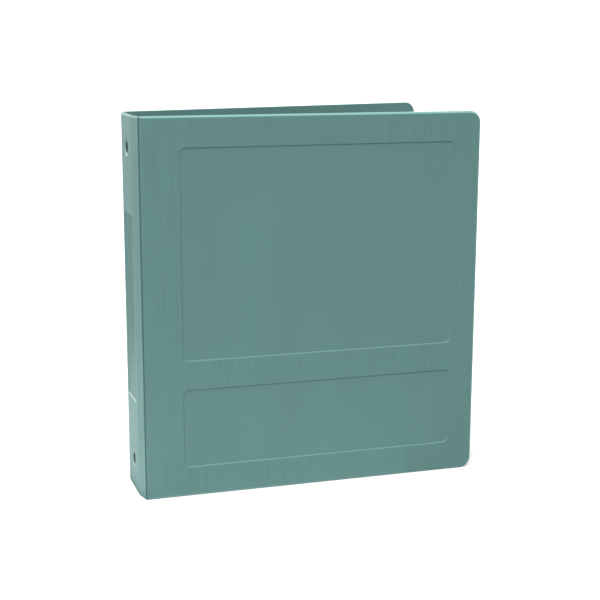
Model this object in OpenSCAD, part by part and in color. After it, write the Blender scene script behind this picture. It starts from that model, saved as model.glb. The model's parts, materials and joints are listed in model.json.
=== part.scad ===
// Stamp album: a moulded ring-binder shell with living hinges, a riveted ring mechanism and four
// stock leaves with clear strips. Millimetres. The album stands on its lower edges, a little open:
// +Z is up, the spine faces -X, the front cover faces -Y and the covers' free edges point to +X.

/* [Shell] */
// Height of the spine and the covers
shell_h = 292; // [290:1:300]
// Width of a cover, from its hinge to its free edge
cover_w = 270; // [260:1:276]
// Thickness of the closed album over both hinges
shell_t = 62; // [61.5:0.5:68]
// Width of the flat part of the spine
spine_flat = 38; // [36:0.5:42]
// How far the slanted corner strips set the hinges back from the spine's flat
strip_set = 3; // [2.5:0.5:5]
// Thickness of the moulded walls
wall = 2.8; // [2.6:0.1:3]
// Radius of the covers' free corners
corner_r = 9; // [6:0.5:12]

/* [Opening] */
// Angle of the front cover from closed
front_splay = 1; // [0:0.5:20]
// Angle of the back cover from closed
back_splay = 12; // [0:0.5:20]
// Degrees that a stack of leaves turns for each degree of its cover
leaf_ratio = 0.85; // [0.7:0.05:0.9]

/* [Recessed panels] */
// Distance of both panels from the hinge
panel_x = 29.5; // [26:0.5:34]
// Width of both panels
panel_w = 219.5; // [200:0.5:222]
// Height of the upper panel
upper_h = 162; // [140:1:170]
// Height of the lower panel
lower_h = 62; // [50:1:66]
// Bare border under the lower panel and over the upper one
panel_margin = 23; // [18:0.5:26]
// Corner radius of the panels
panel_r = 5; // [3:0.5:8]
// Depth of the panels
panel_depth = 0.6; // [0.4:0.1:0.8]

/* [Spine] */
// Width of the label recess
label_w = 32; // [26:0.5:33]
// Height of the label recess
label_h = 145; // [120:1:150]
// Depth of the label recess
label_depth = 0.7; // [0.5:0.1:1]
// Distance between the two eyelets
eyelet_pitch = 243; // [238:1:246]
// Outer radius of the eyelets' tube
eyelet_r = 4.1; // [3.8:0.1:4.2]
// Radius of the funnel that the eyelets draw the spine into
funnel_r = 7; // [6:0.5:8]

/* [Rings] */
// Distance between neighbouring rings
ring_pitch = 108; // [106:1:110]
// Radius of the rings, to the middle of the wire
ring_r = 20; // [19:0.5:20]
// Radius of the ring wire
wire_r = 2; // [1.8:0.1:2.1]
// Length of the arched housing
housing_len = 272; // [270:1:274]
// Height of the housing's crown over the spine
crown = 8.4; // [8.2:0.1:8.8]

/* [Leaves] */
// Width of a leaf
leaf_w = 216; // [205:1:218]
// Height of a leaf
leaf_h = 279; // [270:1:280]
// Thickness of a leaf's card
leaf_t = 0.7; // [0.5:0.05:0.7]
// Number of clear strips on each face of a leaf
strip_rows = 6; // [3:1:8]

/* [Hidden] */
$fn = 72;
eps = 0.01;

// Shell
skin = 0.65;              // depth of the hinge axis under the outer faces
root = 0.35;              // half the width of a hinge web
web_t = 0.4;              // thickness of a hinge web
web_end_in = 0.8;         // the webs end this far inside the spine's ends
bevel_w = 4.2;            // width of the shallow bevel beside a hinge groove
bevel_drop = 0.25;
mitre_a = 44;             // angle of the relief inside a hinge
strip_w = (shell_t - spine_flat) / 2;
strip_a = atan2(strip_set, strip_w);
hinge_x = strip_set + skin * (1 - sin(strip_a)) / cos(strip_a);
hinge_y = shell_t / 2 - skin;
mitre_u = root + (wall - skin - web_t / 2) * tan(mitre_a);
recess_slope = 0.9;       // width of the sloped walls of the recesses
spine_inner_y = spine_flat / 2 - wall * tan(strip_a / 2);
end_out = 1.5;            // edge radii at the ends of the spine: outside and inside
end_in = 0.5;
rim_out = 1.9;            // edge radii round a cover: outside and inside
rim_in = 0.6;

// Ring mechanism, measured from the spine's inner face
mid_z = shell_h / 2;
sheet = 0.9;              // housing sheet
fit = 0.08;               // running clearance of a blade's edge in its rail
arch_r = 15;
pivot_x = 3.2;
pivot_y = 10.5;
blade_t = 1.5;
blade_gap = 0.15;         // half the gap between the blades when they lie flat
blade_w = pivot_y - blade_gap;
blade_down = 5;           // tilt of the closed blades
rail_r = blade_t / 2 + fit + sheet;
ring_foot_y = 8;          // where the middle of the wire meets its blade
blade_top = blade_t / 2 / cos(blade_down);
ring_foot_x = pivot_x - (pivot_y - ring_foot_y) * tan(blade_down) + blade_top;
ring_x = ring_foot_x + sqrt(pow(ring_r, 2) - pow(ring_foot_y, 2));
ring_end = 180 - asin(6.5 / ring_r);
tip_gap = 0.4;            // degrees between a ring tip and the middle
peg_r = 0.9;
peg_len = 1.2;
notch_y = 5;              // the housing is cut away beyond this at the rings
ring_z = [for (i = [-1:1]) mid_z + i * ring_pitch];
eyelet_z = [for (s = [-1, 1]) mid_z + s * eyelet_pitch / 2];
eyelet_bore = eyelet_r - 0.5;
funnel_depth = 0.9;
flange_r = 6;
flange_t = 0.7;

// Levers, for the upper end; the lower end mirrors them
pin_r = 1.2;
pin_x = 5.2;
pin_in = 3.2;             // pin's distance inside the housing's end
pin_len = 19.4;
lever_w = 12;
lever_reach = 11.5;
lever_rise = 38;
handle_t = 1.6;
claw_w = 4;
blade_end_in = 7.5;       // blades' ends, inside the housing's ends
nose_z = 5.4;             // the claw's noses: distance from the pin
nose_r = 0.4;
nose_low = 4.25;          // their depths under the pin
nose_high = 1.15;
jaw_root = 0.85;          // the upper jaw's depth under the pin at the stem
stem_z = 3;               // the claw's stem: far side, from the pin
stem_t = 1.3;

// Leaves
leaf_inner = 8.5;         // inner edge, from the rings' middle
leaf_closed = 3.4;        // angle of a stack in the closed album
leaf_step = 2;            // distance between the two leaves of a stack
leaf_sink = 1;            // leaves hang this far down on the rings
leaf_corner = 6;
slot_from = 17.1;         // inner end of the ring slots, from the rings' middle
slot_len = 10;
slot_w = 6.2;
film_t = 0.25;
film_from = 34;           // clear strips start here
film_gap = 5;
film_margin = 12;

// Origin: middle of the bottom of the standing album
function free_x(a) = hinge_x + (cover_w - rim_out) * cos(a) + (rim_out - skin) * sin(a) + rim_out;
function free_y(a) = hinge_y + (cover_w - rim_out) * sin(a) - (rim_out - skin) * cos(a) + rim_out;
centre_x = max(free_x(front_splay), free_x(back_splay)) / 2;
centre_y = (free_y(back_splay) - free_y(front_splay)) / 2;

shell_colour = [0.40, 0.56, 0.54];
steel_colour = [0.78, 0.79, 0.80];
card_colour = [0.10, 0.10, 0.11];
film_colour = [0.85, 0.88, 0.90, 0.45];

// A point of the slanted strip's section: s from the hinge towards the spine, n outwards.
function strip_point(s, n) = [
  hinge_x - s * sin(strip_a) - n * cos(strip_a),
  -hinge_y + s * cos(strip_a) - n * sin(strip_a)
];

// A point of the front cover's section at angle a: u from the hinge outwards, v inwards.
function cover_point(a, u, v) = [
  hinge_x + u * cos(a) + v * sin(a),
  -hinge_y - u * sin(a) + v * cos(a)
];

// Moves the album from the spine's outer face to its origin.
module place() {
  translate([-centre_x, -centre_y, 0])
    children();
}

// Turns a front part into the matching back part.
module side(back) {
  mirror([0, back ? 1 : 0, 0])
    children();
}

// Turns an upper part into the matching lower part.
module end(low) {
  translate([0, 0, low ? shell_h : 0])
    mirror([0, 0, low ? 1 : 0])
      children();
}

// A sunk rounded rectangle with sloped walls, cut down from the plane z = 0.
module recess(w, h, r, depth) {
  over = 1;
  slope = recess_slope;
  section_w = [[slope, -depth], [w - slope, -depth], [w, 0], [w, over], [0, over], [0, 0]];
  section_h = [[slope, -depth], [h - slope, -depth], [h, 0], [h, over], [0, over], [0, 0]];
  translate([0, h - r, 0])
    rotate([90, 0, 0])
      linear_extrude(h - 2 * r)
        polygon(section_w);
  translate([r, 0, 0])
    rotate([90, 0, 90])
      linear_extrude(w - 2 * r)
        polygon(section_h);
  for (x = [r, w - r], y = [r, h - r])
    translate([x, y, -depth]) {
      cylinder(h = depth, r1 = r - slope, r2 = r);
      translate([0, 0, depth - eps])
        cylinder(h = over, r = r);
    }
}

// ---- Moulded shell ----

module spine_section() {
  half = [
    [0, -spine_flat / 2],
    strip_point(root, skin),
    strip_point(root, -web_t / 2),
    strip_point(mitre_u, skin - wall),
    [wall, -spine_inner_y]
  ];
  count = len(half);
  polygon(concat(half, [for (i = [1:count]) [half[count - i].x, -half[count - i].y]]));
}

module eyelet_seat() {
  rotate([0, 90, 0]) {
    translate([0, 0, -eps])
      cylinder(h = funnel_depth + eps, r1 = funnel_r, r2 = eyelet_r + 0.05);
    cylinder(h = wall + 1, r = eyelet_r + 0.05);
  }
}

// Cuts away what is outside the rounded end of a wall: x along the wall, y into it, end at z = 0.
module end_round(width) {
  rotate([90, 0, 90])
    linear_extrude(width)
      difference() {
        translate([-1, -end_out])
          square([wall + 2, end_out + 1]);
        translate([end_out, -end_out])
          square([wall - end_out - end_in, end_out]);
        translate([end_out, -end_out])
          square([wall - end_out, end_out - end_in]);
        translate([end_out, -end_out])
          circle(end_out);
        translate([wall - end_in, -end_in])
          circle(end_in);
      }
}

module spine_panel() {
  color(shell_colour)
    place()
      difference() {
        linear_extrude(shell_h)
          spine_section();
        for (low = [false, true])
          end(low)
            translate([0, 0, shell_h]) {
              translate([0, spine_flat / 2, 0])
                rotate([0, 0, -90])
                  end_round(spine_flat);
              for (back = [false, true])
                side(back)
                  translate([0, -spine_flat / 2, 0])
                    rotate([0, 0, strip_a - 90])
                      end_round(strip_w / cos(strip_a) + 1);
            }
        translate([0, label_w / 2, mid_z - label_h / 2])
          rotate([90, 0, -90])
            recess(label_w, label_h, 2.5, label_depth);
        for (z = eyelet_z)
          translate([0, 0, z])
            eyelet_seat();
      }
}

module hinge_web(back) {
  a = back ? back_splay : front_splay;
  out = [-cos(strip_a) - sin(a), -sin(strip_a) - cos(a)];
  crest = [hinge_x, -hinge_y] + out / norm(out) * web_t * 0.6;
  color(shell_colour)
    place()
      side(back)
        translate([0, 0, web_end_in])
          linear_extrude(shell_h - 2 * web_end_in)
            polygon([
              strip_point(root, web_t / 2),
              strip_point(root, -web_t / 2),
              cover_point(a, root, web_t / 2),
              cover_point(a, root, -web_t / 2),
              crest
            ]);
}

// Steps of a cover's rounded rim, from its outer face to its inner one: [depth, inset].
rim_steps = concat(
  [for (t = [0:18:90]) [rim_out * (1 - cos(t)) - skin, rim_out * (1 - sin(t))]],
  [for (t = [90:-30:0]) [wall - skin - rim_in * (1 - cos(t)), rim_in * (1 - sin(t))]]
);

// A cover's plate with a rounded rim, from its hinge line at x = 0.
module cover_blank() {
  hull()
    for (step = rim_steps)
      translate([0, step.x, 0])
        rotate([90, 0, 0])
          translate([0, 0, -eps / 2]) {
            translate([0, step.y, 0])
              cube([1, shell_h - 2 * step.y, eps]);
            for (z = [corner_r, shell_h - corner_r])
              translate([cover_w - corner_r, z, 0])
                cylinder(h = eps, r = corner_r - step.y, $fn = 48);
          }
}

module cover_section() {
  polygon([
    [root, web_t / 2],
    [root, bevel_drop - skin],
    [bevel_w, -skin],
    [cover_w + 1, -skin],
    [cover_w + 1, wall - skin],
    [mitre_u, wall - skin]
  ]);
}

module cover(back) {
  color(shell_colour)
    place()
      side(back)
        translate([hinge_x, -hinge_y, 0])
          rotate([0, 0, back ? -back_splay : -front_splay])
            difference() {
              intersection() {
                cover_blank();
                linear_extrude(shell_h)
                  cover_section();
              }
              translate([panel_x, -skin, 0])
                rotate([90, 0, 0]) {
                  translate([0, panel_margin, 0])
                    recess(panel_w, lower_h, panel_r, panel_depth);
                  translate([0, shell_h - panel_margin - upper_h, 0])
                    recess(panel_w, upper_h, panel_r, panel_depth);
                }
            }
}

// ---- Ring mechanism ----

// Moves the mechanism onto the spine's inner face.
module on_spine() {
  place()
    translate([wall, 0, 0])
      children();
}

module housing_section() {
  slot_rise = 3.2 * tan(9);
  slot_h = blade_t / 2 + fit;
  difference() {
    union() {
      intersection() {
        translate([crown - arch_r, 0])
          difference() {
            circle(arch_r);
            circle(arch_r - sheet);
          }
        translate([0, -pivot_y])
          square([crown + 1, 2 * pivot_y]);
      }
      for (s = [-1, 1]) {
        translate([pivot_x, s * pivot_y])
          circle(rail_r);
        translate([0, s * (pivot_y + rail_r - sheet / 2) - sheet / 2])
          square([pivot_x, sheet]);
      }
    }
    for (s = [0, 1])
      mirror([0, s])
        translate([pivot_x, -pivot_y]) {
          circle(blade_t / 2 + fit);
          polygon([[-slot_h, 0], [slot_h, 0], [slot_h + slot_rise, 3.2], [-slot_h - slot_rise, 3.2]]);
        }
  }
}

module ring_housing() {
  end_notch = lever_w / 2 + 0.6;
  seat_r = flange_r + 0.5;
  color(steel_colour)
    on_spine()
      difference() {
        union() {
          translate([0, 0, mid_z - housing_len / 2])
            linear_extrude(housing_len)
              housing_section();
          for (z = eyelet_z)
            translate([crown - sheet - 0.5, 0, z])
              rotate([0, 90, 0])
                cylinder(h = sheet + 0.5, r = seat_r);
        }
        for (z = ring_z, s = [0, 1])
          mirror([0, s, 0])
            translate([-1, notch_y, z - wire_r - 0.8])
              cube([crown + 2, 10, 2 * wire_r + 1.6]);
        for (z = eyelet_z)
          translate([0, 0, z])
            rotate([0, 90, 0])
              cylinder(h = crown + 2, r = eyelet_r + 0.05);
        for (low = [false, true])
          end(low) {
            translate([pin_x, 0, lever_pin_z()])
              rotate([90, 0, 0])
                cylinder(h = pin_len + 4, r = pin_r, center = true);
            translate([pin_x - 2.2, -end_notch, lever_pin_z() - 2.8])
              cube([crown, 2 * end_notch, 20]);
          }
      }
}

function lever_pin_z() = mid_z + housing_len / 2 - pin_in;

// A hollow rivet: funnel lip outside, tube through spine and housing, flange on the crown.
module eyelet(low) {
  top = wall + crown;
  flare = 0.45;
  color(steel_colour)
    place()
      translate([0, 0, eyelet_z[low ? 0 : 1]])
        rotate([0, 90, 0])
          rotate_extrude()
            polygon([
              [eyelet_bore, funnel_depth - flare],
              [eyelet_r + 0.25, funnel_depth - flare],
              [eyelet_r + 0.45, funnel_depth - 0.18],
              [eyelet_r, funnel_depth],
              [eyelet_r, top],
              [flange_r, top],
              [flange_r, top + flange_t / 2],
              [flange_r - 0.4, top + flange_t],
              [eyelet_bore, top + flange_t]
            ]);
}

module lever_pin(low) {
  color(steel_colour)
    on_spine()
      end(low)
        translate([pin_x, 0, lever_pin_z()])
          rotate([90, 0, 0])
            cylinder(h = pin_len, r = pin_r, center = true);
}

// Side view of the lever's knuckle and handle.
module handle_section() {
  circle(2.3);
  rotate(lever_rise) {
    translate([0, -handle_t / 2])
      square([lever_reach - 1.3, handle_t]);
    translate([lever_reach - 1.3, 0])
      circle(1.3);
  }
}

// Side view of the claw that holds the blades' ends between two noses.
module claw_section() {
  translate([-stem_z, -nose_low - nose_r])
    square([stem_t, nose_low + nose_r]);
  translate([-nose_z, -nose_low - nose_r])
    square([nose_z - stem_t, 2 * nose_r]);
  polygon([
    [-nose_z, -nose_high + nose_r],
    [-nose_z, -nose_high - nose_r],
    [-stem_z, -jaw_root],
    [-stem_t, -jaw_root],
    [-stem_t, 0],
    [-stem_z, 0]
  ]);
  for (depth = [nose_low, nose_high])
    translate([-nose_z, -depth])
      circle(nose_r);
}

// Stands a side view up across the album, centred, its x along +Z and its y away from the spine.
module across(w) {
  rotate([90, 0, 0])
    translate([0, 0, -w / 2])
      linear_extrude(w)
        mirror([1, -1])
          children();
}

module lever(low) {
  color(steel_colour)
    on_spine()
      end(low)
        translate([pin_x, 0, lever_pin_z()])
          difference() {
            union() {
              across(lever_w)
                handle_section();
              across(claw_w)
                claw_section();
            }
            rotate([90, 0, 0])
              cylinder(h = lever_w + 2, r = pin_r + 0.05, center = true);
          }
}

module blade(back) {
  blade_len = housing_len - 2 * blade_end_in;
  color(steel_colour)
    on_spine()
      side(back)
        difference() {
          translate([pivot_x, -pivot_y, mid_z - blade_len / 2])
            rotate([0, 0, blade_down])
              linear_extrude(blade_len) {
                circle(blade_t / 2);
                translate([-blade_t / 2, 0])
                  square([blade_t, blade_w]);
              }
          for (z = eyelet_z)
            translate([-1, 0, z])
              rotate([0, 90, 0])
                cylinder(h = crown + 1, r = eyelet_r + 0.8);
        }
}

module ring_half(index, back) {
  color(steel_colour)
    on_spine()
      side(back)
        translate([ring_x, 0, ring_z[index]])
          difference() {
            union() {
              rotate([0, 0, -ring_end])
                rotate_extrude(angle = ring_end - tip_gap)
                  translate([ring_r, 0])
                    circle(wire_r);
              if (!back)
                rotate([0, 0, -tip_gap])
                  translate([ring_r, -eps, 0])
                    rotate([-90, 0, 0])
                      cylinder(h = peg_len, r1 = peg_r, r2 = peg_r - 0.3);
            }
            translate([pivot_x - ring_x, -pivot_y, 0])
              rotate([0, 0, blade_down])
                translate([blade_t / 2 - 20, -10, -5])
                  cube([20, 30, 10]);
            if (back)
              translate([ring_r, 0.5, 0])
                rotate([90, 0, 0])
                  cylinder(h = peg_len + 1, r = peg_r + 0.2);
          }
}

// ---- Leaves ----

// Frame of a leaf: x runs outwards from the rings' middle, y = 0 is the card's middle.
module leaf_frame(outer, back) {
  splay = back ? back_splay : front_splay;
  on_spine()
    side(back)
      translate([ring_x, 0, mid_z - leaf_h / 2 - leaf_sink])
        rotate([0, 0, -leaf_closed - leaf_ratio * splay])
          translate([0, outer ? -leaf_step : 0, 0])
            children();
}

module leaf_outline() {
  translate([leaf_inner, 0])
    square([leaf_w - leaf_corner, leaf_h]);
  translate([leaf_inner, leaf_corner])
    square([leaf_w, leaf_h - 2 * leaf_corner]);
  for (y = [leaf_corner, leaf_h - leaf_corner])
    translate([leaf_inner + leaf_w - leaf_corner, y])
      circle(leaf_corner);
}

module leaf(outer, back) {
  color(card_colour)
    leaf_frame(outer, back)
      translate([0, leaf_t / 2, 0])
        rotate([90, 0, 0])
          linear_extrude(leaf_t)
            difference() {
              leaf_outline();
              for (z = ring_z)
                translate([0, z - mid_z + leaf_h / 2]) {
                  translate([slot_from + slot_w / 2, -slot_w / 2])
                    square([slot_len - slot_w, slot_w]);
                  for (x = [slot_w / 2, slot_len - slot_w / 2])
                    translate([slot_from + x, 0])
                      circle(slot_w / 2);
                }
            }
}

module leaf_strips(outer, back) {
  pitch = (leaf_h - 2 * film_margin + film_gap) / strip_rows;
  color(film_colour)
    leaf_frame(outer, back)
      for (i = [0:strip_rows - 1], face = [-1, 1])
        translate([film_from, face * (leaf_t + film_t) / 2 - film_t / 2, film_margin + i * pitch])
          cube([leaf_inner + leaf_w - film_from - 3, film_t, pitch - film_gap]);
}

spine_panel();
hinge_web(false);  // front_hinge_web
hinge_web(true);  // back_hinge_web
cover(false);  // front_cover
cover(true);  // back_cover
ring_housing();
eyelet(false);  // top_eyelet
eyelet(true);  // bottom_eyelet
lever_pin(false);  // top_lever_pin
lever_pin(true);  // bottom_lever_pin
lever(false);  // top_lever
lever(true);  // bottom_lever
blade(false);  // front_blade
blade(true);  // back_blade
ring_half(2, false);  // top_front_ring
ring_half(1, false);  // middle_front_ring
ring_half(0, false);  // bottom_front_ring
ring_half(2, true);  // top_back_ring
ring_half(1, true);  // middle_back_ring
ring_half(0, true);  // bottom_back_ring
leaf(false, false);  // front_inner_leaf
leaf(true, false);  // front_outer_leaf
leaf(false, true);  // back_inner_leaf
leaf(true, true);  // back_outer_leaf
leaf_strips(false, false);  // front_inner_strips
leaf_strips(true, false);  // front_outer_strips
leaf_strips(false, true);  // back_inner_strips
leaf_strips(true, true);  // back_outer_strips
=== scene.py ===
"""Dresses the stamp album: moulded shell, living hinges, ring mechanism, stock leaves and studio."""

import json
import logging
import math
from dataclasses import dataclass, field
from enum import Enum
from typing import Any, Callable, Iterable, Iterator, Sequence, Union

import bmesh
import bpy
from mathutils import Matrix, Vector


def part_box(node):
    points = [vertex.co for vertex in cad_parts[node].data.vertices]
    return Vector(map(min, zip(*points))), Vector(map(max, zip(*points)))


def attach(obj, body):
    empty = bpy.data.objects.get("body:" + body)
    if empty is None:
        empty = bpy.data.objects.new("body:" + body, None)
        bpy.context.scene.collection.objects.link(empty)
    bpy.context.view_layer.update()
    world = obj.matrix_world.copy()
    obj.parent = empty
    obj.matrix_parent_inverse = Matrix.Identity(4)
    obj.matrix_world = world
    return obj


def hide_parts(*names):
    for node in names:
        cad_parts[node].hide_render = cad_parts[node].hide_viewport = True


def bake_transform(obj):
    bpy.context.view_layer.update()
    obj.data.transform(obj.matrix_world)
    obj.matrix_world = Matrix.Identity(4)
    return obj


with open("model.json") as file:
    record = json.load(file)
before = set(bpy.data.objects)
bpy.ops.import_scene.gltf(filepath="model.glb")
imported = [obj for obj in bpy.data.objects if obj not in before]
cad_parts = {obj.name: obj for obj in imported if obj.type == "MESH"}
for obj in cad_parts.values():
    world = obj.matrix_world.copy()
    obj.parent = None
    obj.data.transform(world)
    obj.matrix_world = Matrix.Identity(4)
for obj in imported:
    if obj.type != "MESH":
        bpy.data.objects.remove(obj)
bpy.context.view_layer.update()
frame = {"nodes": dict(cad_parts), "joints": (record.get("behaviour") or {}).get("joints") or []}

LOG = logging.getLogger("stamp_album")
MM = 0.001

# A coordinate may be this far off when an edge is picked by its place.
HAIR = 0.01 * MM
# A direction of length one runs along an axis above the first share of it, across it below
# the second, and is that of a face of the spine's flat or its slanted strips above the third.
ALONG = 0.9
ACROSS = 0.1
BROADSIDE = 0.8
# A cutter starts this far off the face that it cuts, and reaches this far outside it.
LIFT = 0.004 * MM
OVER = 1.0 * MM
# Edges sharper than this stay sharp.
CREASE = math.radians(40)
# A dish's lip and its foot have this many facets each.
DISH_ARCS = 3

Corner = tuple[float, float, float]
Colour = tuple[float, float, float, float]
Step = tuple[float, float]


# ---- Where things are ----


class Side(Enum):
    """The two covers, as the album stands."""

    FRONT = "front"
    BACK = "back"


@dataclass(frozen=True)
class Hinge:
    """One living hinge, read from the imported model.

    Args:
        side: The cover that it carries.
        axis: A point on its axis, at the bottom of the album.
        splay: The cover's angle from closed, at rest, in radians.
    """

    side: Side
    axis: Vector
    splay: float

    @classmethod
    def of(cls, side: Side) -> "Hinge":
        """Reads a hinge from its joint.

        Args:
            side: The cover that the hinge carries.

        Returns:
            The hinge's place and the cover's angle at rest.
        """
        joint = next(j for j in frame["joints"] if j["name"] == f"{side.value}_cover_hinge")
        x, y, _ = joint["pos_m"]
        return cls(side, Vector((x, y, 0.0)), math.radians(-joint["range_deg"][0]))

    @property
    def turn(self) -> float:
        """The cover's turn about +Z from the album's +X, in radians."""
        return -self.splay if self.side is Side.FRONT else self.splay

    def placing(self) -> Matrix:
        """The move from a cover's own frame: x from the hinge, y inwards, z up."""
        mirrored = Matrix.Scale(-1.0, 4, (0.0, 1.0, 0.0))
        own = Matrix.Identity(4) if self.side is Side.FRONT else mirrored
        return Matrix.Translation(self.axis) @ Matrix.Rotation(self.turn, 4, "Z") @ own


@dataclass(frozen=True)
class Shell:
    """Sizes that the shell's parts share, in metres."""

    height: float = 292 * MM
    wall: float = 2.8 * MM
    skin: float = 0.65 * MM
    root: float = 0.35 * MM
    web: float = 0.4 * MM
    mitre: float = math.radians(44)
    strip_set: float = 3.0 * MM
    spine_flat: float = 38.0 * MM
    thickness: float = 62.0 * MM

    @property
    def mitre_in(self) -> float:
        """How far the relief inside a hinge runs back at the inner face."""
        return self.root + (self.wall - self.skin - self.web / 2) * math.tan(self.mitre)

    @property
    def strip_width(self) -> float:
        """Width of a slanted corner strip across the album."""
        return (self.thickness - self.spine_flat) / 2

    @property
    def strip_angle(self) -> float:
        """Slant of the corner strips from the spine's flat, in radians."""
        return math.atan2(self.strip_set, self.strip_width)


SHELL = Shell()


# ---- Modelling in edit mode ----


class Pick(Enum):
    """What an edit-mode selection holds."""

    EDGES = "EDGE"
    FACES = "FACE"


def middle(edge: bmesh.types.BMEdge) -> Vector:
    """The middle of an edge."""
    return (edge.verts[0].co + edge.verts[1].co) / 2


def along(edge: bmesh.types.BMEdge) -> Vector:
    """The direction of an edge, of length one."""
    return (edge.verts[1].co - edge.verts[0].co).normalized()


def between(
    edge: bmesh.types.BMEdge, first: Callable[[Any], bool], second: Callable[[Any], bool]
) -> bool:
    """Whether one face at an edge passes a first test and one passes a second."""
    return any(map(first, edge.link_faces)) and any(map(second, edge.link_faces))


def near(value: float, target: float) -> bool:
    """Whether a coordinate is at a target, within a hair."""
    return abs(value - target) < HAIR


def activate(piece: bpy.types.Object) -> None:
    """Makes a piece the only selected and active object."""
    bpy.ops.object.select_all(action="DESELECT")
    piece.select_set(True)
    bpy.context.view_layer.objects.active = piece


def apply_modifier(piece: bpy.types.Object, name: str, kind: str, **settings: Any) -> None:
    """Adds a modifier to a piece and applies it.

    Args:
        piece: The mesh object.
        name: The modifier's name.
        kind: Blender's type of modifier.
        settings: The modifier's properties.
    """
    activate(piece)
    modifier = piece.modifiers.new(name, kind)
    for key, value in settings.items():
        setattr(modifier, key, value)
    bpy.ops.object.modifier_apply(modifier=modifier.name)


def carve(piece: bpy.types.Object, cutter: bpy.types.Object) -> None:
    """Cuts a cutter's form out of a piece, with its finish, and throws the cutter away."""
    apply_modifier(
        piece, "carve", "BOOLEAN",
        operation="DIFFERENCE", object=cutter, solver="EXACT", material_mode="TRANSFER",
    )
    bpy.data.objects.remove(cutter)


def smooth(piece: bpy.types.Object) -> None:
    """Rounds the shading of a piece's small steps and keeps its flat faces flat."""
    activate(piece)
    bpy.ops.object.shade_smooth_by_angle(angle=CREASE)
    apply_modifier(
        piece, "weigh", "WEIGHTED_NORMAL", mode="FACE_AREA", weight=100, keep_sharp=True
    )


def place(piece: bpy.types.Object, move: Matrix) -> None:
    """Takes a piece from its own frame to the album's, with its place in its mesh.

    Args:
        piece: The mesh object, still at the origin.
        move: The placing, which may mirror.
    """
    piece.data.transform(move)
    if move.determinant() < 0:
        piece.data.flip_normals()
    piece.data.update()


class Bench:
    """One mesh in edit mode: its elements are picked by place, then shaped by operators."""

    def __init__(self, name: str) -> None:
        """Takes the primitive that was just added, fixes its size and opens it.

        Args:
            name: The name of the piece.
        """
        self.piece = bpy.context.object
        self.piece.name = name
        self.piece.data.name = name
        bpy.ops.object.transform_apply(location=True, rotation=True, scale=True)
        bpy.ops.object.mode_set(mode="EDIT")

    @classmethod
    def cube(cls, name: str, low: Corner, high: Corner) -> "Bench":
        """Starts from a box between two corners.

        Args:
            name: The name of the piece.
            low: The lowest corner.
            high: The highest corner.

        Returns:
            The bench, in edit mode.
        """
        bpy.ops.object.select_all(action="DESELECT")
        span = Vector(high) - Vector(low)
        bpy.ops.mesh.primitive_cube_add(size=1.0, location=(Vector(low) + Vector(high)) / 2)
        bpy.context.object.scale = span
        return cls(name)

    @classmethod
    def drum(cls, name: str, radius: float, length: float, sides: int) -> "Bench":
        """Starts from a drum along Y that ends on the plane y = 0.

        Args:
            name: The name of the piece.
            radius: Its radius.
            length: Its length, towards -Y.
            sides: How many flats make its round.

        Returns:
            The bench, in edit mode.
        """
        bpy.ops.object.select_all(action="DESELECT")
        bpy.ops.mesh.primitive_cylinder_add(
            vertices=sides, radius=radius, depth=length,
            location=(0.0, -length / 2, 0.0), rotation=(math.radians(90), 0.0, 0.0),
        )
        return cls(name)

    def pick(self, kind: Pick, test: Callable[[Any], bool]) -> "Bench":
        """Selects the elements that pass a test, and nothing else.

        Args:
            kind: Edges or faces.
            test: Says for each element whether it is picked.

        Returns:
            The bench.
        """
        bpy.ops.mesh.select_mode(type=kind.value)
        bpy.ops.mesh.select_all(action="DESELECT")
        mesh = bmesh.from_edit_mesh(self.piece.data)
        for element in mesh.edges if kind is Pick.EDGES else mesh.faces:
            element.select = bool(test(element))
        mesh.select_flush_mode()
        bmesh.update_edit_mesh(self.piece.data)
        return self

    def bevel(self, width: float, steps: int) -> "Bench":
        """Rounds the picked edges."""
        bpy.ops.mesh.bevel(offset=width, segments=steps, affect="EDGES", profile=0.5)
        return self

    def inset(self, inward: float, deeper: float) -> "Bench":
        """Insets the picked face by a width, and pushes it out by a depth."""
        bpy.ops.mesh.inset(thickness=inward, depth=deeper, use_even_offset=True)
        return self

    def extrude(self, move: Corner) -> "Bench":
        """Extrudes what is picked along a move."""
        bpy.ops.mesh.extrude_region_move(TRANSFORM_OT_translate={"value": move})
        return self

    def slide(self, move: Sequence[float]) -> "Bench":
        """Moves what is picked."""
        bpy.ops.transform.translate(value=tuple(move))
        return self

    def shave(self, start: Vector, end: Vector, outside: Vector) -> "Bench":
        """Planes the piece off along an upright plane and closes the cut.

        Args:
            start: A point of the plane.
            end: Another point of it, at the same height.
            outside: A point on the side that goes.

        Returns:
            The bench.
        """
        normal = (end - start).cross(Vector((0.0, 0.0, 1.0))).normalized()
        if normal.dot(outside - start) < 0:
            normal.negate()
        bpy.ops.mesh.select_all(action="SELECT")
        bpy.ops.mesh.bisect(
            plane_co=start, plane_no=normal, use_fill=True, clear_outer=True, threshold=0.001 * MM
        )
        return self

    def done(self) -> bpy.types.Object:
        """Leaves edit mode and hands the piece over."""
        bpy.ops.object.mode_set(mode="OBJECT")
        return self.piece


def dish_steps(depth: float, slope: float, radius: float) -> Iterator[Step]:
    """Works out the inset steps of a dish with a rounded lip and a rounded foot.

    Args:
        depth: The depth of the dish.
        slope: The angle of its wall from its floor, in radians.
        radius: The radius of the lip and the foot.

    Yields:
        Pairs of how far inward and how much deeper the next ring lies.
    """
    turns = [slope * i / DISH_ARCS for i in range(DISH_ARCS + 1)]
    arc = [
        (radius * (math.sin(b) - math.sin(a)), radius * (math.cos(a) - math.cos(b)))
        for a, b in zip(turns, turns[1:])
    ]
    straight = depth - 2 * radius * (1 - math.cos(slope))
    yield from arc
    yield straight / math.tan(slope), straight
    yield from reversed(arc)


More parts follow.
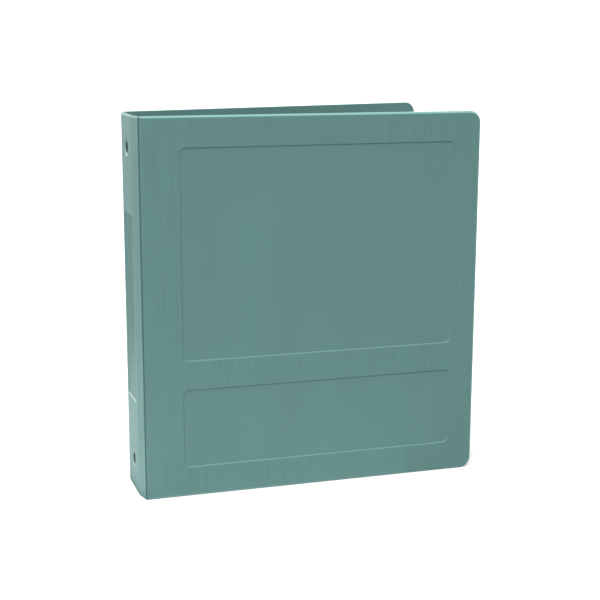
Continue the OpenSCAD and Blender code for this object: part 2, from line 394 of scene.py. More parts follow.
@dataclass(frozen=True)
class Dish:
    """A sunk field with round corners, and walls with a rounded lip and foot.

    Args:
        depth: How deep it lies.
        corner: The radius of its corners.
        facets: How many facets a corner has.
        rounding: The radius of the walls' lip and foot.
        slope: The slope of the walls.
    """

    depth: float
    corner: float
    facets: int
    rounding: float
    slope: float = math.radians(42)

    def cutter(self, name: str, low: Corner, high: Corner) -> bpy.types.Object:
        """Models its cutter: a box with the dish on its +Y side.

        Args:
            name: The cutter's name.
            low: The box's lowest corner.
            high: Its highest corner, just off the face that is cut.

        Returns:
            The cutter.
        """
        bench = Bench.cube(name, low, high)
        bench.pick(Pick.EDGES, lambda e: abs(along(e).y) > ALONG).bevel(self.corner, self.facets)
        bench.pick(Pick.FACES, lambda f: f.normal.y > ALONG)
        for inward, deeper in dish_steps(self.depth + LIFT, self.slope, self.rounding):
            bench.inset(inward, deeper)
        return bench.done()


# ---- Shader nodes ----


class Wire:
    """A number socket that Python's operators extend with Math nodes."""

    def __init__(self, board: "Board", socket: bpy.types.NodeSocket) -> None:
        """Wraps an output socket of a board's node."""
        self.board = board
        self.socket = socket

    def _math(self, operation: str, first: "Value", second: "Value") -> "Wire":
        """Adds one Math node and wraps its output."""
        node = self.board.node("Math", {"operation": operation}, {0: first, 1: second})
        return Wire(self.board, node.outputs[0])

    def __add__(self, other: "Value") -> "Wire":
        """Adds a value."""
        return self._math("ADD", self, other)

    def __radd__(self, other: "Value") -> "Wire":
        """Is added to a value."""
        return self._math("ADD", other, self)

    def __sub__(self, other: "Value") -> "Wire":
        """Takes a value away."""
        return self._math("SUBTRACT", self, other)

    def __rsub__(self, other: "Value") -> "Wire":
        """Is taken away from a value."""
        return self._math("SUBTRACT", other, self)

    def __mul__(self, other: "Value") -> "Wire":
        """Multiplies by a value."""
        return self._math("MULTIPLY", self, other)

    def __rmul__(self, other: "Value") -> "Wire":
        """Multiplies a value."""
        return self._math("MULTIPLY", other, self)

    def __pow__(self, other: "Value") -> "Wire":
        """Is raised to a power."""
        return self._math("POWER", self, other)

    def __gt__(self, other: "Value") -> "Wire":
        """Is 1 above a value and 0 below it."""
        return self._math("GREATER_THAN", self, other)

    def at_least(self, low: float) -> "Wire":
        """Is kept from falling below a value."""
        return self._math("MAXIMUM", self, low)

    def ripple(self) -> "Wire":
        """Rises and falls between 0 and 1, once for each whole number."""
        return self._math("SINE", self * (2 * math.pi), 0.0) * 0.5 + 0.5


Value = Union[Wire, float]


class Board:
    """The node tree of one material or world, and the one method that adds nodes to it."""

    def __init__(self, block: Union[bpy.types.Material, bpy.types.World]) -> None:
        """Empties the tree of a new material or world."""
        self.block = block
        block.use_nodes = True
        self.tree = block.node_tree
        self.tree.nodes.clear()

    @classmethod
    def finish(cls, name: str) -> "Board":
        """Starts a material."""
        return cls(bpy.data.materials.new(name))

    def node(self, kind: str, settings: dict[str, Any], inputs: dict[Any, Any]) -> bpy.types.Node:
        """Adds a node.

        Args:
            kind: Its type, without Blender's ShaderNode prefix.
            settings: Its properties, set first.
            inputs: Values, wires or sockets for its inputs, by name or number.

        Returns:
            The node.
        """
        node = self.tree.nodes.new(f"ShaderNode{kind}")
        for key, value in settings.items():
            setattr(node, key, value)
        for key, value in inputs.items():
            source = value.socket if isinstance(value, Wire) else value
            if isinstance(source, bpy.types.NodeSocket):
                self.tree.links.new(source, node.inputs[key])
            else:
                node.inputs[key].default_value = source
        return node

    def where(self, turn: float = 0.0) -> bpy.types.NodeSocket:
        """The place on the piece, in metres, turned about the album's height."""
        spot = self.node("TexCoord", {}, {}).outputs["Object"]
        return self.node("Mapping", {}, {"Vector": spot, "Rotation": (0.0, 0.0, turn)}).outputs[0]

    def noise(
        self, spot: bpy.types.NodeSocket, per_metre: Corner, detail: float = 2.0, rough: float = 0.5
    ) -> Wire:
        """Adds a cloudy pattern.

        Args:
            spot: The place on the piece.
            per_metre: How many lumps it has per metre along X, Y and Z.
            detail: How many finer layers it has.
            rough: How strong the finer layers are.

        Returns:
            Its strength, around one half.
        """
        scaled = self.node("Mapping", {}, {"Vector": spot, "Scale": per_metre}).outputs[0]
        noise = self.node(
            "TexNoise", {}, {"Vector": scaled, "Scale": 1.0, "Detail": detail, "Roughness": rough}
        )
        return Wire(self, noise.outputs[0])

    def along(self, away: bpy.types.NodeSocket, direction: Vector) -> Wire:
        """How far a vector reaches along a direction."""
        node = self.node(
            "VectorMath", {"operation": "DOT_PRODUCT"}, {0: away, 1: tuple(direction)}
        )
        return Wire(self, node.outputs["Value"])

    def blend(self, share: Value, first: Any, second: Any) -> bpy.types.NodeSocket:
        """Mixes two colours by a share from 0 to 1."""
        node = self.node(
            "Mix", {"data_type": "RGBA", "clamp_factor": True}, {0: share, 6: first, 7: second}
        )
        return node.outputs[2]

    def bump(self, height: Wire, distance: float, strength: float) -> bpy.types.NodeSocket:
        """Turns a height from 0 to 1 into a bumped normal."""
        inputs = {"Height": height, "Distance": distance, "Strength": strength}
        return self.node("Bump", {}, inputs).outputs[0]

    def surface(self, **inputs: Any) -> bpy.types.Material:
        """Ends the tree in a Principled shader.

        Args:
            inputs: The shader's inputs, with _ for a space in their names.

        Returns:
            The finished material.
        """
        named = {key.replace("_", " "): value for key, value in inputs.items()}
        shader = self.node("BsdfPrincipled", {}, named)
        self.node("OutputMaterial", {}, {"Surface": shader.outputs[0]})
        return self.block


# ---- Finishes ----


class Grain(Enum):
    """How a moulded face is drawn."""

    LINEN = "linen"
    SMOOTH = "smooth"


def tint(colour: Corner, factor: float) -> Colour:
    """A colour made lighter or darker by a factor."""
    red, green, blue = (channel * factor for channel in colour)
    return (red, green, blue, 1.0)


@dataclass(frozen=True)
class Weave:
    """The linen grain: upright warp threads and slubs, level weft threads and nubs.

    Args:
        threads: Threads per metre, both ways.
        drift: How far the threads wander from their rows, in threads.
        relief: The depth of the grain, in metres.
        height: Shares of warp, slubs, weft and nubs in the height of the grain.
        streaks: Their shares in the streaks of its colour.
    """

    threads: float = 690.0
    drift: float = 2.4
    relief: float = 0.12 * MM
    height: tuple[float, ...] = (0.30, 0.25, 0.25, 0.20)
    streaks: tuple[float, ...] = (0.30, 0.42, 0.12, 0.16)

    def draw(self, board: Board, spot: bpy.types.NodeSocket) -> tuple[Wire, Wire]:
        """Weaves the grain from threads of uneven weight.

        Args:
            board: The material's board.
            spot: The place on the piece.

        Returns:
            The height of the weave and the streaks of its colour, both from 0 to 1.
        """
        drift = board.noise(spot, (45.0, 4.0, 45.0)) * self.drift
        warp = (board.along(spot, Vector((self.threads, 0.0, 0.0))) + drift).ripple()
        weft = (board.along(spot, Vector((0.0, 0.0, self.threads))) + drift).ripple()
        slubs = board.noise(spot, (700.0, 4.0, 24.0), rough=0.6)
        nubs = board.noise(spot, (24.0, 4.0, 700.0), rough=0.6)
        height, streaks = (
            sum(strand * share for strand, share in zip((warp, slubs, weft, nubs), shares))
            for shares in (self.height, self.streaks)
        )
        return height, streaks


@dataclass(frozen=True)
class MouldedPlastic:
    """Teal moulded plastic with a linen grain or a smooth face.

    Args:
        label: What it finishes, for the material's name.
        turn: The face's turn about the album's height, in radians.
        grain: The grain of the mould.
        tone: How light the colour is beside the shell's own.
        vary: How far the colour strays from its mean.
        rough: Its least roughness.
        shine: The strength of its gloss.
        weave: The linen grain.
        colour: The shell's own colour.
    """

    label: str
    turn: float
    grain: Grain = Grain.SMOOTH
    tone: float = 1.0
    vary: float = 0.08
    rough: float = 0.42
    shine: float = 0.20
    weave: Weave = Weave()
    colour: Corner = (0.115, 0.234, 0.219)

    def material(self) -> bpy.types.Material:
        """Builds the finish.

        Returns:
            The material.
        """
        board = Board.finish(f"{self.label}_{self.grain.value}")
        spot = board.where(-self.turn)
        clouds = board.noise(spot, (14.0, 14.0, 9.0), detail=3.0)
        if self.grain is Grain.LINEN:
            height, streaks = self.weave.draw(board, spot)
            normal = board.bump(height, self.weave.relief, 0.6)
            shade = clouds * 0.1 + streaks * 0.9
        else:
            height = board.noise(spot, (900.0, 900.0, 900.0), detail=1.0)
            flow = board.noise(spot, (60.0, 60.0, 11.0))
            normal = board.bump(height * 0.6 + flow * 0.4, 0.03 * MM, 0.4)
            shade = clouds * 0.7 + flow * 0.3
        light, dark = self.tone * (1.0 + self.vary), self.tone * (1.0 - self.vary)
        return board.surface(
            Base_Color=board.blend(shade, tint(self.colour, dark), tint(self.colour, light)),
            Roughness=self.rough + 0.10 * height, Normal=normal,
            IOR=1.46, Specular_IOR_Level=self.shine,
        )


@dataclass(frozen=True)
class PlatedSteel:
    """Plated steel, from bright nickel to dull strip.

    Args:
        label: What it finishes.
        colour: Its colour.
        rough: Its roughness.
        brush: Fine brush lines per metre along X, Y and Z.
        depth: How deep they read, in metres.
    """

    label: str
    colour: Corner
    rough: float
    brush: Corner
    depth: float

    def material(self) -> bpy.types.Material:
        """Builds the finish.

        Returns:
            The material.
        """
        board = Board.finish(self.label)
        spot = board.where()
        lines = board.noise(spot, self.brush)
        bloom = board.noise(spot, (120.0, 120.0, 120.0), detail=3.0)
        colour = board.blend(bloom, tint(self.colour, 0.86), tint(self.colour, 1.06))
        return board.surface(
            Base_Color=colour,
            Metallic=1.0,
            Roughness=self.rough - 0.06 + 0.12 * bloom + 0.06 * lines,
            Normal=board.bump(lines, self.depth, 0.35),
        )


@dataclass(frozen=True)
class RivetSteel:
    """Steel of the rivets: nickel on the head inside, and in the hollow that shows outside a dark
    teal colour that is painted shade.

    Args:
        label: What it finishes.
        hollow_shade: The colour in the hollow.
        nickel: The colour of the head.
        inside: Where the spine's wall ends along X, in metres.
    """

    label: str
    hollow_shade: Corner
    nickel: Corner
    inside: float

    def material(self) -> bpy.types.Material:
        """Builds the finish.

        Returns:
            The material.
        """
        board = Board.finish(self.label)
        spot = board.where()
        head = board.along(spot, Vector((1.0, 0.0, 0.0))) > self.inside
        wear = board.noise(spot, (400.0, 400.0, 400.0), detail=3.0)
        # The hollow's dark teal is painted shade, standing in for the shadow deep in the rivet; the
        # nickel head is its own colour.
        painted = board.blend(wear, tint(self.hollow_shade, 0.8), tint(self.hollow_shade, 1.3))
        plated = board.blend(wear, tint(self.nickel, 0.86), tint(self.nickel, 1.06))
        return board.surface(
            Base_Color=board.blend(head, painted, plated),
            Metallic=head,
            Roughness=0.5 - 0.26 * head + 0.1 * wear,
            Normal=board.bump(wear, 0.02 * MM, 0.3),
        )


@dataclass(frozen=True)
class StockCard:
    """Black laminated card of the stock leaves."""

    colour: Corner = (0.014, 0.014, 0.016)

    def material(self) -> bpy.types.Material:
        """Builds the finish.

        Returns:
            The material.
        """
        board = Board.finish("leaf_card")
        spot = board.where()
        fibres = board.noise(spot, (500.0, 500.0, 160.0), detail=3.0, rough=0.6)
        clouds = board.noise(spot, (22.0, 22.0, 22.0))
        colour = board.blend(
            fibres * 0.6 + clouds * 0.4, tint(self.colour, 0.75), tint(self.colour, 1.5)
        )
        return board.surface(
            Base_Color=colour,
            Roughness=0.42 + 0.2 * fibres,
            Normal=board.bump(fibres, 0.05 * MM, 0.4),
        )


@dataclass(frozen=True)
class ClearFilm:
    """Clear polyester film of the holding strips."""

    colour: Corner = (0.40, 0.43, 0.45)

    def material(self) -> bpy.types.Material:
        """Builds the finish.

        Returns:
            The material.
        """
        board = Board.finish("clear_film")
        spot = board.where()
        ripple = board.noise(spot, (26.0, 26.0, 9.0), detail=1.0)
        haze = board.noise(spot, (300.0, 300.0, 300.0))
        return board.surface(
            Base_Color=board.blend(haze, tint(self.colour, 0.9), tint(self.colour, 1.05)),
            Roughness=0.06 + 0.08 * haze,
            Alpha=0.20 + 0.10 * haze,
            Normal=board.bump(ripple, 0.4 * MM, 0.25),
            IOR=1.58,
        )


@dataclass(frozen=True)
class StudioPaper:
    """White paper that the album stands on."""

    colour: Corner = (0.93, 0.93, 0.925)

    def material(self) -> bpy.types.Material:
        """Builds the finish.

        Returns:
            The material.
        """
        board = Board.finish("studio_paper")
        spot = board.where()
        tooth = board.noise(spot, (700.0, 700.0, 700.0))
        colour = board.blend(tooth, tint(self.colour, 0.985), tint(self.colour, 1.01))
        normal = board.bump(tooth, 0.05 * MM, 0.2)
        return board.surface(Base_Color=colour, Roughness=0.9, Normal=normal)


def dress(piece: bpy.types.Object, *materials: bpy.types.Material) -> None:
    """Gives a piece its finishes, in order of its material slots."""
    piece.data.materials.clear()
    for material in materials:
        piece.data.materials.append(material)


def dress_nodes(names: Iterable[str], finish: Any) -> list[bpy.types.Object]:
    """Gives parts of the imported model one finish.

    Args:
        names: The parts' names.
        finish: Their finish.

    Returns:
        The parts.
    """
    material = finish.material()
    parts = [frame["nodes"][name] for name in names]
    for part in parts:
        dress(part, material)
    return parts


# ---- Moulded shell ----


@dataclass
class CoverPlate:
    """A cover: a wall with rounded edges, two sunk panels and a hinge edge.

    Args:
        side: Front or back.
        width: From the hinge's axis to the free edge.
        corner: The radius of its two free corners.
        rims: The radii round its outer and its inner face.
        bevel_width: How far from the hinge's axis the bevel of the outer face starts.
        bevel_drop: How deep the bevel lies at the hinge edge.
        lip: The width and the depth of the narrower bevel that breaks that edge.
        panel_from: From the hinge's axis to the panels.
        panel_width: The panels' width.
        panel_margin: From the cover's ends to the panels.
        panel_heights: The heights of the lower and the upper panel.
        panel: The dish of a panel.
    """

    side: Side
    width: float = 270 * MM
    corner: float = 9.0 * MM
    rims: tuple[float, float] = (1.9 * MM, 0.6 * MM)
    bevel_width: float = 4.4 * MM
    bevel_drop: float = 0.28 * MM
    lip: tuple[float, float] = (0.5 * MM, 0.145 * MM)
    panel_from: float = 29.5 * MM
    panel_width: float = 219.5 * MM
    panel_margin: float = 23.0 * MM
    panel_heights: tuple[float, float] = (62 * MM, 162 * MM)
    panel: Dish = Dish(0.6 * MM, 5.0 * MM, 8, 0.35 * MM)
    hinge: Hinge = field(init=False)

    def __post_init__(self) -> None:
        """Reads the cover's hinge."""
        self.hinge = Hinge.of(self.side)

    def build(self) -> list[bpy.types.Object]:
        """Models the cover, places it and sets it on its body.

        Returns:
            The cover's one piece.
        """
        turn = self.hinge.turn
        label = f"{self.side.value}_cover"
        linen = MouldedPlastic(label, turn, Grain.LINEN, vary=0.28, rough=0.47).material()
        plain = MouldedPlastic(label, turn, rough=0.36, shine=0.3).material()
        # The rim's colour is 1.7 times lighter than the shell's: a painted highlight along the
        # rounded edges; its gloss is real.
        edge = f"{self.side.value}_rim"
        rim = MouldedPlastic(edge, turn, tone=1.7, rough=0.26, shine=0.5).material()
        plate = self._plate()
        dress(plate, linen, plain, rim)
        for face in plate.data.polygons:
            face.material_index = self._finish(face.normal.y)
        low, high = self.panel_heights
        carve(plate, self._panel(self.panel_margin, low, plain))
        carve(plate, self._panel(SHELL.height - self.panel_margin - high, high, plain))
        place(plate, self.hinge.placing())
        smooth(plate)
        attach(plate, f"{self.side.value}_cover")
        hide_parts(f"{self.side.value}_cover")
        return [plate]

    @staticmethod
    def _finish(facing: float) -> int:
        """Chooses a face's finish: linen outside, plain inside and on the lip, or the rim's, whose
        lighter colour is a painted highlight.

        Args:
            facing: How far the face's normal points inwards, from -1 to 1.

        Returns:
            The number of the material slot.
        """
        # Only the lip's slope lies between the first two, and no facet of the rim's.
        outer_face, lip, inner_face = -0.97, -0.952, 0.9
        if facing < outer_face:
            return 0
        return 1 if facing < lip or facing > inner_face else 2

    def _plate(self) -> bpy.types.Object:
        """Models the wall in the cover's own frame.

        Returns:
            The wall, without its panels.
        """
        outer, inner = -SHELL.skin, SHELL.wall - SHELL.skin
        bench = Bench.cube(
            f"{self.side.value}_cover_plate",
            (SHELL.root, outer, 0.0), (self.width, inner, SHELL.height),
        )
        bench.pick(
            Pick.EDGES, lambda e: abs(along(e).y) > ALONG and near(middle(e).x, self.width)
        ).bevel(self.corner, 12)
        for way, rim, steps in zip((-1, 1), self.rims, (7, 3)):
            bench.pick(Pick.EDGES, lambda e, w=way: between(
                e, lambda f: f.normal.y * w > ALONG,
                lambda f: abs(f.normal.y) < ACROSS and f.normal.x > -ACROSS,
            )).bevel(rim, steps)
        hinge_edge = Vector((SHELL.root, outer, 0.0))
        lip_edge = hinge_edge + Vector((0.0, self.bevel_drop, 0.0))
        bench.shave(lip_edge, Vector((self.bevel_width, outer, 0.0)), hinge_edge)
        lip_width, lip_depth = self.lip
        bench.shave(
            lip_edge + Vector((0.0, lip_depth, 0.0)),
            lip_edge + Vector((lip_width, 0.0, 0.0)), hinge_edge,
        )
        bench.shave(
            Vector((SHELL.root, SHELL.web / 2, 0.0)),
            Vector((SHELL.mitre_in, inner, 0.0)), Vector((SHELL.root, inner, 0.0)),
        )
        return bench.done()

    def _panel(self, base: float, tall: float, plain: bpy.types.Material) -> bpy.types.Object:
        """Models the cutter of one sunk panel in the cover's own frame.

        Args:
            base: The height of its lower edge.
            tall: Its height.
            plain: The finish of its faces.

        Returns:
            The cutter.
        """
        left, right = self.panel_from, self.panel_from + self.panel_width
        surface = -SHELL.skin - LIFT
        cutter = self.panel.cutter(
            "panel_cutter", (left, surface - OVER, base), (right, surface, base + tall)
        )
        dress(cutter, plain)
        return cutter


@dataclass
class HingeWeb:
    """The thin web of a living hinge, bent between the spine's strip and a cover.

    Args:
        side: The cover that it carries.
        steps: How many facets its bend has.
        tab: How far it reaches into the cover and into the strip.
        end_in: How far inside the album's ends it stops.
    """

    side: Side
    steps: int = 12
    tab: float = 0.3 * MM
    end_in: float = 0.8 * MM
    hinge: Hinge = field(init=False)

    def __post_init__(self) -> None:
        """Reads the hinge."""
        self.hinge = Hinge.of(self.side)

    def build(self) -> list[bpy.types.Object]:
        """Models the web and places it.

        Returns:
            The web's one piece.
        """
        web = self._strip()
        # The web's colour is darkened to about half: painted shade in the groove between the strip
        # and the cover.
        dress(web, MouldedPlastic(f"{self.side.value}_web", self.hinge.turn, tone=0.52).material())
        place(web, self.hinge.placing())
        smooth(web)
        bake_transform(web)
        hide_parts(f"{self.side.value}_hinge_web")
        return [web]

    def _strip(self) -> bpy.types.Object:
        """Models the web in the cover's own frame, as a strip spun through the bend.

        Returns:
            The web.
        """
        bend = math.radians(90) - SHELL.strip_angle - self.hinge.splay
        radius = SHELL.root / math.tan(bend / 2)
        half = SHELL.web / 2
        bench = Bench.cube(
            f"{self.side.value}_hinge_strip",
            (SHELL.root, -half, self.end_in),
            (SHELL.root + self.tab, half, SHELL.height - self.end_in),
        )
        bench.pick(Pick.FACES, lambda f: f.normal.x < -ALONG)
        bpy.ops.mesh.spin(
            steps=self.steps, angle=bend, center=(SHELL.root, radius, 0.0), axis=(0.0, 0.0, 1.0)
        )
        bench.extrude((-self.tab * math.cos(bend), self.tab * math.sin(bend), 0.0))
        bpy.ops.mesh.select_all(action="SELECT")
        bpy.ops.mesh.normals_make_consistent(inside=False)
        return bench.done()


@dataclass
class SpineShell:
    """The spine: a flat wall with two slanted strips, a label field and two rivet funnels.

    Args:
        ends: The radii round its ends, outside and inside.
        fold_round: The radius outside the folds to the strips.
        label: The width and the height of the label field.
        label_dish: The dish of the field.
        rivet_pitch: The distance between the rivets.
        funnel: The radius of a funnel's mouth, without its rounded lip.
        funnel_depth: How deep a funnel lies.
        funnel_lip: The radius of the lip's rounding.
        funnel_sides: How many facets a funnel's round has.
        bore: The radius of a rivet's bore.
    """

    ends: tuple[float, float] = (1.5 * MM, 0.5 * MM)
    fold_round: float = 1.6 * MM
    label: tuple[float, float] = (32 * MM, 145 * MM)
    label_dish: Dish = Dish(0.7 * MM, 2.5 * MM, 6, 0.3 * MM)
    rivet_pitch: float = 243 * MM
    funnel: float = 7.0 * MM
    funnel_depth: float = 0.9 * MM
    funnel_lip: float = 1.2 * MM
    funnel_sides: int = 48
    bore: float = 4.15 * MM

    def build(self) -> list[bpy.types.Object]:
        """Models the spine, places it and sets it on its body.

        Returns:
            The spine's one piece.
        """
        low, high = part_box("spine_panel")
        facing = math.radians(90)
        linen = MouldedPlastic(
            "spine", facing, Grain.LINEN, vary=0.62, rough=0.47, shine=0.45
        ).material()
        plain = MouldedPlastic("spine", facing).material()
        # The label field's colour is darkened to 0.84: painted shade, for the dimmer reflection of
        # the smooth sunk field.
        floor = MouldedPlastic("label_field", facing, tone=0.84, rough=0.36, shine=0.14).material()
        # The funnel's colour is 1.1 times lighter: a painted highlight on the funnels' walls and the
        # label field's walls; its gloss is real.
        funnel = MouldedPlastic("rivet_funnel", facing, tone=1.1, rough=0.3, shine=0.45).material()
        wall = self._wall()
        dress(wall, linen, plain)
        for face in wall.data.polygons:
            face.material_index = 0 if face.normal.x <= -BROADSIDE else 1
        carve(wall, self._label_cutter(floor, funnel))
        for way in (-1, 1):
            carve(wall, self._funnel_cutter(SHELL.height / 2 + way * self.rivet_pitch / 2, funnel))
        place(wall, Matrix.Translation((low.x, (low.y + high.y) / 2, 0.0)))
        smooth(wall)
        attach(wall, "spine")
        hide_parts("spine_panel")
        return [wall]

    def _strip_point(self, from_hinge: float, outwards: float) -> Vector:
        """A point of the front strip's section in the spine's own frame.

        Args:
            from_hinge: The distance along the strip from the hinge.
            outwards: The distance out from the hinge's axis.

        Returns:
            The point, at height 0.
        """
        lean = SHELL.strip_angle
        hinge_x = SHELL.strip_set + SHELL.skin * (1 - math.sin(lean)) / math.cos(lean)
        hinge_y = SHELL.thickness / 2 - SHELL.skin
        return Vector((
            hinge_x - from_hinge * math.sin(lean) - outwards * math.cos(lean),
            -hinge_y + from_hinge * math.cos(lean) - outwards * math.sin(lean),
            0.0,
        ))

    def _wall(self) -> bpy.types.Object:
        """Models the folded wall: x into the album, y across the spine, z up.

        Returns:
            The wall, without its label field and funnels.
        """
        half, wall = SHELL.spine_flat / 2, SHELL.wall
        bench = Bench.cube("spine_shell", (0.0, -half, 0.0), (wall, half, SHELL.height))
        for way in (-1, 1):
            bench.pick(Pick.FACES, lambda f, w=way: f.normal.y * w > ALONG)
            bench.extrude((0.0, 0.0, 0.0))
            self._fold(bench, way)
        fold = wall * math.tan(SHELL.strip_angle / 2)
        for way in (-1, 1):
            bench.pick(
                Pick.EDGES,
                lambda e, w=way: near(middle(e).x, wall) and near(middle(e).y, w * half)
                and abs(along(e).z) > ALONG,
            ).slide((0.0, -way * fold, 0.0))
        bench.pick(
            Pick.EDGES,
            lambda e: near(middle(e).x, 0.0) and near(abs(middle(e).y), half)
            and abs(along(e).z) > ALONG,
        ).bevel(self.fold_round, 4)
        for way, rim, steps in zip((-1, 1), self.ends, (6, 3)):
            bench.pick(Pick.EDGES, lambda e, w=way: between(
                e, lambda f: abs(f.normal.z) > ALONG,
                lambda f: abs(f.normal.z) < ACROSS and f.normal.x * w > BROADSIDE,
            )).bevel(rim, steps)
        for way in (-1, 1):
            mirror = Vector((1.0, -way, 1.0))
            web = self._strip_point(SHELL.root, -SHELL.web / 2) * mirror
            inner = self._strip_point(SHELL.mitre_in, SHELL.skin - wall) * mirror
            bench.shave(web, inner, self._strip_point(SHELL.root, SHELL.skin - wall) * mirror)
        return bench.done()

    def _fold(self, bench: Bench, way: int) -> None:
        """Draws the fresh extrusion at one side out into a slanted strip.

        Args:
            bench: The spine's bench, with the extruded end face picked.
            way: -1 for the front strip, 1 for the back one.
        """
        outside = way * (SHELL.spine_flat / 2 + OVER)
        bench.slide((0.0, way * OVER, 0.0))
        mirror = Vector((1.0, -way, 1.0))
        for x, outwards in ((0.0, SHELL.skin), (SHELL.wall, SHELL.skin - SHELL.wall)):
            bench.pick(
                Pick.EDGES, lambda e, x=x: near(middle(e).x, x) and near(middle(e).y, outside)
            )
            target = self._strip_point(SHELL.root, outwards) * mirror
            bench.slide(target - Vector((x, outside, 0.0)))

    def _label_cutter(
        self, floor: bpy.types.Material, satin: bpy.types.Material
    ) -> bpy.types.Object:
        """Models the cutter of the label field, facing -X.

        Args:
            floor: The finish of its floor, whose darker colour is painted shade.
            satin: The finish of its walls, glossy, with a lighter colour that is a painted
                highlight.

        Returns:
            The cutter.
        """
        wide, tall = self.label
        base = (SHELL.height - tall) / 2
        cutter = self.label_dish.cutter(
            "label_cutter", (-wide / 2, -OVER - LIFT, base), (wide / 2, -LIFT, base + tall)
        )
        dress(cutter, floor, satin)
        level = 0.99
        for face in cutter.data.polygons:
            face.material_index = 0 if face.normal.y > level else 1
        place(cutter, Matrix.Rotation(math.radians(-90), 4, "Z"))
        return cutter

    def _funnel_cutter(self, height: float, satin: bpy.types.Material) -> bpy.types.Object:
        """Models the cutter of one rivet funnel and its bore, facing -X.

        Args:
            height: The height of the rivet's middle.
            satin: The finish of its faces, glossy, with a lighter colour that is a painted
                highlight.

        Returns:
            The cutter.
        """
        lip_share = 0.15
        slope = math.atan2(self.funnel_depth, self.funnel - self.bore)
        radius = self.funnel + self.funnel_lip * lip_share
        bench = Bench.drum("funnel_cutter", radius, OVER, self.funnel_sides)
        bench.pick(Pick.FACES, lambda f: f.normal.y > ALONG)
        steps = list(dish_steps(self.funnel_depth + LIFT, slope, self.funnel_lip))
        # The bore takes the place of the dish's rounded foot.
        for inward, deeper in steps[:-DISH_ARCS]:
            bench.inset(inward, deeper)
            radius -= inward
        bench.inset(radius - self.bore, 0.0)
        bench.extrude((0.0, SHELL.wall * 2, 0.0))
        cutter = bench.done()
        dress(cutter, satin)
        facing = Matrix.Rotation(math.radians(-90), 4, "Z")
        place(cutter, Matrix.Translation((-LIFT, 0.0, height)) @ facing)
        return cutter


# ---- Ring mechanism and leaves ----


@dataclass
class RingMechanism:
    """The riveted ring mechanism.

    Args:
        nickel: The finish of its housing, rings, levers and pins.
        strip: The finish of its blades.
        hollow: The colour in the rivets' hollows, painted shade for their deep shadow.
    """

    nickel: PlatedSteel = PlatedSteel(
        "nickel_plate", (0.66, 0.65, 0.62), 0.20, (160.0, 160.0, 900.0), 0.01 * MM
    )
    strip: PlatedSteel = PlatedSteel(
        "strip_steel", (0.48, 0.48, 0.47), 0.36, (900.0, 900.0, 60.0), 0.02 * MM
    )
    # Painted shade: the dark of the rivets' deep hollows, drawn as colour.
    hollow: Corner = (0.035, 0.085, 0.076)

    def build(self) -> list[bpy.types.Object]:
        """Gives the mechanism's parts their finishes.

        Returns:
            The parts.
        """
        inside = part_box("spine_panel")[0].x + SHELL.wall
        rivet = RivetSteel("rivet_steel", self.hollow, self.nickel.colour, inside)
        rings = [f"{end}_{side.value}_ring" for end in ("top", "middle", "bottom") for side in Side]
        levers = [f"{end}_lever{part}" for end in ("top", "bottom") for part in ("", "_pin")]
        return [
            *dress_nodes(["ring_housing", *rings, *levers], self.nickel),
            *dress_nodes(["front_blade", "back_blade"], self.strip),
            *dress_nodes(["top_eyelet", "bottom_eyelet"], rivet),
        ]


@dataclass
class StockLeaves:
    """The stock leaves.

    Args:
        card: The finish of their cards.
        film: The finish of their holding strips.
    """

    card: StockCard = StockCard()
    film: ClearFilm = ClearFilm()

    def build(self) -> list[bpy.types.Object]:
        """Gives the leaves their finishes.

        Returns:
            The leaves' parts.
        """
        layers = [f"{side.value}_{layer}" for side in Side for layer in ("inner", "outer")]
        return [
            *dress_nodes([f"{layer}_leaf" for layer in layers], self.card),
            *dress_nodes([f"{layer}_strips" for layer in layers], self.film),
        ]


# ---- Studio ----


@dataclass(frozen=True)
class Glow:
    """A soft patch of light in the studio's air, far from the album.

    Args:
        azimuth: Its turn from the camera's side towards the camera's left, in degrees.
        elevation: Its height above the horizon, in degrees.
        focus: How quickly it fades away from its middle, as a power.
        strength: The brightness of its middle.
    """

    azimuth: float
    elevation: float
    focus: float
    strength: float


@dataclass(frozen=True)
class BounceCard:
    """A square card on the floor that throws soft light up at the album.

    Args:
        azimuth: Its turn from the camera's side towards the camera's left, in degrees.
        away: How far its middle is from the album's, in metres.
        size: Its side, in metres.
        power: Its light, in watts.
    """

    azimuth: float
    away: float
    size: float
    power: float


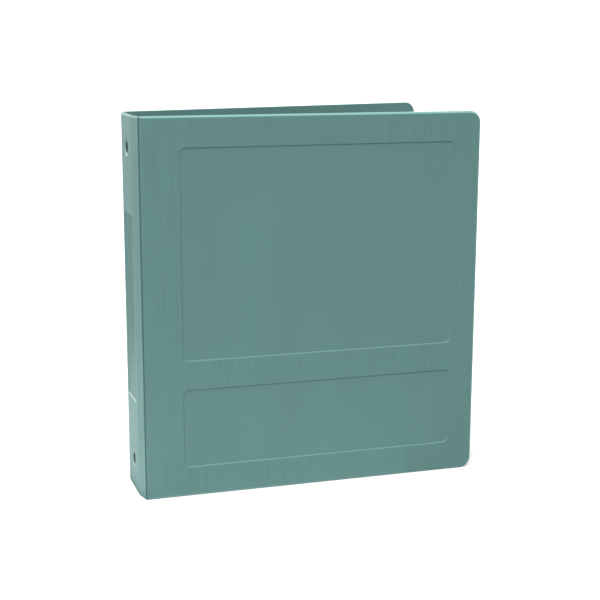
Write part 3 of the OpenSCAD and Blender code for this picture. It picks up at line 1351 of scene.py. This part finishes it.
@dataclass
class Studio:
    """White paper, soft light all round, two bounce cards, and the camera.

    Args:
        lens: The camera's focal length, in millimetres.
        azimuth: Its turn round the album, in degrees.
        elevation: Its height above the horizon, in degrees.
        roll: Its roll, in degrees.
        distance: From the camera to its target, in metres.
        target: What it looks at.
        paper: The side of the paper, in metres.
        backdrop: How bright the camera sees the air.
        bounce: How bright the light from below the horizon is.
        glows: The light from above it.
        cards: The bounce cards.
        card_height: How high the cards lie above the paper.
    """

    lens: float = 77.18
    azimuth: float = -18.18
    elevation: float = 12.08
    roll: float = 0.19
    distance: float = 1.0434
    target: Corner = (0.0052, -0.0094, 0.1387)
    paper: float = 30.0
    backdrop: float = 1.03
    bounce: float = 0.37
    glows: tuple[Glow, ...] = (
        Glow(0.0, 65.0, 8.0, 3.78),
        Glow(0.0, 45.0, 8.0, 3.42),
        Glow(90.0, 20.0, 8.0, 2.01),
        Glow(135.0, 15.0, 8.0, 3.71),
        Glow(180.0, 20.0, 8.0, 1.50),
        Glow(-90.0, 25.0, 8.0, 0.80),
    )
    cards: tuple[BounceCard, ...] = (
        BounceCard(90.0, 0.42, 0.5, 0.74),
        BounceCard(10.0, 0.27, 0.4, 0.14),
    )
    card_height: float = 1.0 * MM

    def build(self) -> None:
        """Lays the floor, hangs the lights and sets up the camera."""
        self._floor()
        for number, card in enumerate(self.cards):
            self._card(f"bounce_card_{number}", card)
        self._world()
        self._camera()
        bpy.context.scene.view_settings.view_transform = "Standard"

    def _towards(self, turn: float, rise: float) -> Vector:
        """Works out a direction in the studio.

        Args:
            turn: Its turn from the camera's side towards the camera's left, in degrees.
            rise: Its height above the horizon, in degrees.

        Returns:
            The direction, of length one.
        """
        heading, lift = math.radians(self.azimuth - turn), math.radians(rise)
        return Vector((
            math.sin(heading) * math.cos(lift), -math.cos(heading) * math.cos(lift), math.sin(lift)
        ))

    def _floor(self) -> None:
        """Lays the paper."""
        bpy.ops.object.select_all(action="DESELECT")
        bpy.ops.mesh.primitive_plane_add(size=self.paper, location=(0.0, 0.0, 0.0))
        floor = bpy.context.object
        floor.name = "studio_floor"
        dress(floor, StudioPaper().material())
        for ray in ("visible_diffuse", "visible_glossy", "visible_shadow"):
            setattr(floor, ray, False)

    def _card(self, name: str, card: BounceCard) -> None:
        """Lays a bounce card, out of the camera's sight.

        Args:
            name: The name of its lamp.
            card: Its place, size and power.
        """
        lamp = bpy.data.lights.new(name, "AREA")
        lamp.size = card.size
        lamp.energy = card.power
        glow = bpy.data.objects.new(name, lamp)
        bpy.context.scene.collection.objects.link(glow)
        glow.location = Vector((self.target[0], self.target[1], self.card_height))
        glow.location += self._towards(card.azimuth, 0.0) * card.away
        glow.rotation_euler = (math.pi, 0.0, 0.0)
        glow.visible_camera = False

    def _world(self) -> None:
        """Fills the air with the glows above and the paper's bounce below, on a white backdrop."""
        board = Board(bpy.data.worlds.new("studio_air"))
        away = board.node("TexCoord", {}, {}).outputs["Generated"]
        glows = [
            board.along(away, self._towards(glow.azimuth, glow.elevation)).at_least(0.0)
            ** glow.focus * glow.strength
            for glow in self.glows
        ]
        above = board.along(away, Vector((0.0, 0.0, 1.0))) > 0.0
        light = self.bounce + above * (sum(glows) - self.bounce)
        seen = Wire(board, board.node("LightPath", {}, {}).outputs["Is Camera Ray"])
        strength = seen * self.backdrop + (1.0 - seen) * light
        air = board.node("Background", {}, {"Color": (1.0, 1.0, 1.0, 1.0), "Strength": strength})
        board.node("OutputWorld", {}, {"Surface": air.outputs[0]})
        bpy.context.scene.world = board.block

    def _camera(self) -> None:
        """Sets up the camera on its sphere round the target."""
        back = self._towards(0.0, self.elevation)
        data = bpy.data.cameras.new("album_camera")
        data.lens = self.lens
        camera = bpy.data.objects.new("album_camera", data)
        bpy.context.scene.collection.objects.link(camera)
        turn = (-back).to_track_quat("-Z", "Y").to_matrix().to_4x4()
        tilt = Matrix.Rotation(math.radians(self.roll), 4, "Z")
        spot = Vector(self.target) + back * self.distance
        camera.matrix_world = Matrix.Translation(spot) @ turn @ tilt
        bpy.context.scene.camera = camera


def main() -> None:
    """Builds the album's sub-assemblies in order, then the studio."""
    logging.basicConfig(level=logging.INFO, format="%(name)s: %(message)s")
    parts = [
        SpineShell(),
        HingeWeb(Side.FRONT), HingeWeb(Side.BACK),
        CoverPlate(Side.FRONT), CoverPlate(Side.BACK),
        RingMechanism(),
        StockLeaves(),
    ]
    for part in parts:
        for piece in part.build():
            LOG.info("%s: %s, %d faces", type(part).__name__, piece.name, len(piece.data.polygons))
    Studio().build()


if __name__ == "__main__":
    main()
